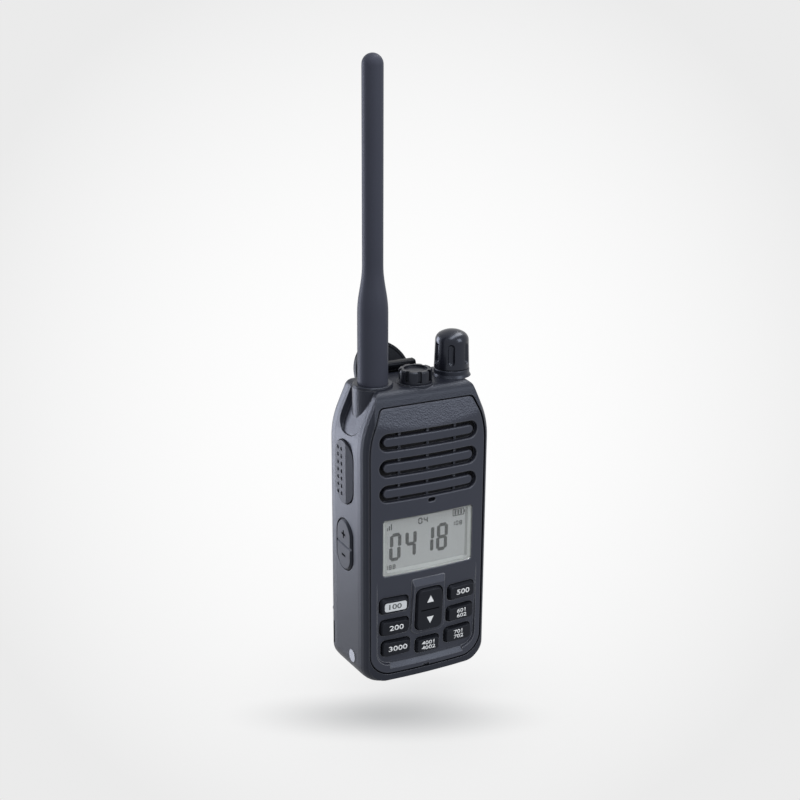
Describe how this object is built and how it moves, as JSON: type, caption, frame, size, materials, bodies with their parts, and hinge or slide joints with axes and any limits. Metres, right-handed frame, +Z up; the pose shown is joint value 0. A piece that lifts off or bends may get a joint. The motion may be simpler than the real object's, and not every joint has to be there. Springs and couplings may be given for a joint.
{
  "type": "handheld marine radio",
  "caption": "Handheld VHF marine radio with stub antenna, volume knob, keypad, display, side transmit button, slide-in battery and belt clip.",
  "frame": {"origin": "centre of the flat base that the radio stands on", "axes": "+X to the user's right when facing the display, +Y to the back of the radio, +Z up along the antenna"},
  "size_m": [0.0625, 0.0551, 0.2624],
  "materials": {
    "case_plastic": "satin moulded polycarbonate with a fine spark texture",
    "panel_plastic": "satin moulded",
    "grille_plastic": "satin moulded",
    "key_rubber": "matt silicone",
    "pale_key_rubber": "matt pale silicone",
    "side_rubber": "matt silicone",
    "bezel_plastic": "pale satin",
    "window_acrylic": "clear, polished",
    "display_cell": "grey-green reflective display",
    "mesh_cloth": "fine woven dust mesh",
    "board_laminate": "solder-masked laminate",
    "cast_metal": "die cast",
    "shield_tin": "tin plated",
    "speaker_steel": "plated",
    "switch_plastic": "moulded",
    "antenna_rubber": "matt moulded rubber",
    "knob_rubber": "semi-matt moulded",
    "seal_rubber": "matt",
    "steel": "stainless",
    "black_steel": "black zinc",
    "brass": "nickel-flashed",
    "contact_metal": "nickel plated",
    "pack_plastic": "satin moulded",
    "cell_foil": "laminated foil",
    "clip_plastic": "satin glass-filled nylon"
  },
  "bodies": {
    "radio": {"front_case": "case_plastic", "front_panel": "panel_plastic", "speaker_grille": "grille_plastic", "speaker_mesh": "mesh_cloth", "speaker": "speaker_steel", "microphone": "speaker_steel", "lcd_bezel": "bezel_plastic", "lcd_window": "window_acrylic", "lcd_module": "display_cell", "keypad_mat": "seal_rubber", "main_board": "board_laminate", "chassis": "cast_metal", "rf_board": "board_laminate", "rf_shield": "shield_tin", "side_board": "board_laminate", "ptt_switch": "switch_plastic", "rocker_switch_upper": "switch_plastic", "rocker_switch_lower": "switch_plastic", "volume_encoder": "switch_plastic", "knob_collar": "case_plastic", "antenna_whip": "antenna_rubber", "antenna_collar": "case_plastic", "antenna_connector": "brass", "accessory_jack": "brass", "charge_studs": "contact_metal", "case_gasket": "seal_rubber", "rear_case": "case_plastic", "case_screws": "black_steel", "battery_terminals": "contact_metal", "clip_bracket": "clip_plastic", "clip_screws": "black_steel", "clip_pin": "steel", "clip_spring": "steel"},
    "volume_knob": {"volume_knob": "knob_rubber", "volume_shaft": "steel"},
    "ptt_button": {"ptt_button": "side_rubber"},
    "side_rocker": {"side_rocker": "side_rubber"},
    "nav_key": {"nav_key": "key_rubber"},
    "jack_cap": {"jack_cap": "case_plastic"},
    "belt_clip": {"belt_clip": "clip_plastic"},
    "battery": {"battery_pack": "pack_plastic", "battery_cover": "pack_plastic", "battery_cells": "cell_foil", "pack_contacts": "contact_metal"},
    "battery_latch": {"battery_latch": "clip_plastic"},
    "key_left_top": {"key_left_top": "key_rubber", "pale_key_cap": "pale_key_rubber"},
    "key_left_middle": {"key_left_middle": "key_rubber"},
    "key_left_low": {"key_left_low": "key_rubber"},
    "key_right_top": {"key_right_top": "key_rubber"},
    "key_right_middle": {"key_right_middle": "key_rubber"},
    "key_right_low": {"key_right_low": "key_rubber"},
    "key_centre": {"key_centre": "key_rubber"}
  },
  "joints": [
    {"name": "volume_turn", "type": "hinge", "parent": "radio", "child": "volume_knob", "pos_m": [0.019, 0.0008, 0.14], "axis": [0, 0, -1], "range_deg": [0, 300]},
    {"name": "ptt_press", "type": "slide", "parent": "radio", "child": "ptt_button", "axis": [1, 0, 0], "range_m": [0, 0.001], "stiffness_N_per_m": 3000, "springref_m": -0.0005},
    {"name": "rocker_tilt", "type": "hinge", "parent": "radio", "child": "side_rocker", "pos_m": [-0.02898, 0.0022, 0.0599], "axis": [0, 1, 0], "range_deg": [-3, 3], "stiffness_Nm_per_rad": 0.4},
    {"name": "nav_rock", "type": "hinge", "parent": "radio", "child": "nav_key", "pos_m": [0, -0.0126, 0.03185], "axis": [1, 0, 0], "range_deg": [-2.5, 2.5], "stiffness_Nm_per_rad": 0.5},
    {"name": "key_left_top_press", "type": "slide", "parent": "radio", "child": "key_left_top", "axis": [0, 1, 0], "range_m": [0, 0.0006], "stiffness_N_per_m": 1500, "springref_m": -0.0004},
    {"name": "key_left_middle_press", "type": "slide", "parent": "radio", "child": "key_left_middle", "axis": [0, 1, 0], "range_m": [0, 0.0006], "stiffness_N_per_m": 1500, "springref_m": -0.0004},
    {"name": "key_left_low_press", "type": "slide", "parent": "radio", "child": "key_left_low", "axis": [0, 1, 0], "range_m": [0, 0.0006], "stiffness_N_per_m": 1500, "springref_m": -0.0004},
    {"name": "key_right_top_press", "type": "slide", "parent": "radio", "child": "key_right_top", "axis": [0, 1, 0], "range_m": [0, 0.0006], "stiffness_N_per_m": 1500, "springref_m": -0.0004},
    {"name": "key_right_middle_press", "type": "slide", "parent": "radio", "child": "key_right_middle", "axis": [0, 1, 0], "range_m": [0, 0.0006], "stiffness_N_per_m": 1500, "springref_m": -0.0004},
    {"name": "key_right_low_press", "type": "slide", "parent": "radio", "child": "key_right_low", "axis": [0, 1, 0], "range_m": [0, 0.0006], "stiffness_N_per_m": 1500, "springref_m": -0.0004},
    {"name": "key_centre_press", "type": "slide", "parent": "radio", "child": "key_centre", "axis": [0, 1, 0], "range_m": [0, 0.0006], "stiffness_N_per_m": 1500, "springref_m": -0.0004},
    {"name": "jack_cap_lift", "type": "slide", "parent": "radio", "child": "jack_cap", "axis": [0, 0, 1], "range_m": [0, 0.014]},
    {"name": "clip_open", "type": "hinge", "parent": "radio", "child": "belt_clip", "pos_m": [0, 0.0215, 0.1175], "axis": [1, 0, 0], "range_deg": [0, 20], "stiffness_Nm_per_rad": 1, "springref_deg": -11.46},
    {"name": "battery_slide", "type": "slide", "parent": "radio", "child": "battery", "axis": [0, 0, -1], "range_m": [0, 0.1]},
    {"name": "latch_slide", "type": "slide", "parent": "battery", "child": "battery_latch", "axis": [0, 0, 1], "range_m": [0, 0.003], "stiffness_N_per_m": 600, "springref_m": -0.001}
  ]
}
